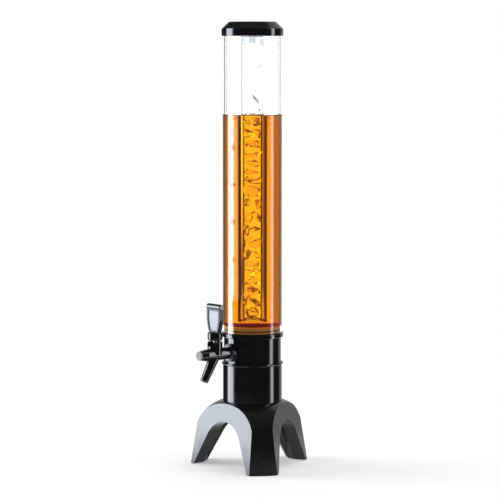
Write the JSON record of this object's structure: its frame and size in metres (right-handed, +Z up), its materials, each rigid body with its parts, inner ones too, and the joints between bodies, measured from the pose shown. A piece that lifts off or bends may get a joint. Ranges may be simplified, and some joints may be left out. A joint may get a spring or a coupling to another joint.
{
  "type": "beer tower dispenser",
  "caption": "Tall clear drink tower on a three-legged base, with a lift-off lid, a central ice tube and a lever tap with a slanted spout.",
  "frame": {"origin": "the point on the table under the tube's axis, in the plane of the three foot pads", "axes": "+Z up along the tube's axis, -Y the way the tap points, +X to the right for someone facing the back of the tap"},
  "size_m": [0.2034, 0.2236, 0.7527],
  "materials": {
    "gloss_black": "moulded ABS, polished black",
    "tap_black": "moulded acetal, gloss black",
    "clear_tube": "clear acrylic, polished",
    "clear_ice_tube": "clear acrylic, polished",
    "clear_stopper": "translucent blue-grey plastic",
    "rubber_black": "matt moulded rubber",
    "seal_rubber": "food-grade rubber",
    "steel": "turned stainless steel",
    "silver_cap": "satin silver plating",
    "white_washer": "plain PTFE",
    "pale_insert": "pale lavender-grey gloss plastic"
  },
  "bodies": {
    "tower": {"tripod_base": "gloss_black", "foot_pads": "rubber_black", "base_screws": "steel", "column_shell": "gloss_black", "tap_housing": "gloss_black", "tube_seal": "seal_rubber", "main_tube": "clear_tube", "tap_body": "tap_black", "tap_shank": "steel", "tap_nut": "steel", "inner_washer": "seal_rubber", "outer_washer": "seal_rubber", "escutcheon": "tap_black", "end_cap": "silver_cap", "ball_washer": "white_washer", "bonnet": "tap_black"},
    "lid": {"lid": "gloss_black", "lid_seal": "seal_rubber"},
    "ice_core": {"ice_tube": "clear_ice_tube", "ice_plug": "clear_stopper"},
    "lever": {"lever_stem": "steel", "ferrule": "tap_black", "handle_frame": "tap_black", "handle_insert": "pale_insert", "handle_bar": "tap_black"},
    "valve": {"valve_shaft": "steel", "valve_disc": "seal_rubber", "piston_seal": "seal_rubber"}
  },
  "joints": [
    {"name": "lid_lift", "type": "slide", "parent": "tower", "child": "lid", "axis": [0, 0, 1], "range_m": [0, 0.51]},
    {"name": "ice_twist", "type": "hinge", "parent": "lid", "child": "ice_core", "pos_m": [0, 0, 0.73], "axis": [0, 0, 1], "range_deg": [0, 45]},
    {"name": "tap_lever", "type": "hinge", "parent": "tower", "child": "lever", "pos_m": [0, -0.0818, 0.208], "axis": [1, 0, 0], "range_deg": [0, 30]},
    {"name": "valve_slide", "type": "slide", "parent": "tower", "child": "valve", "axis": [0, 1, 0], "range_m": [0, 0.0056]}
  ],
  "couplings": [
    {"joint": "valve_slide", "follows": "tap_lever", "m_per_rad": 0.0106}
  ]
}
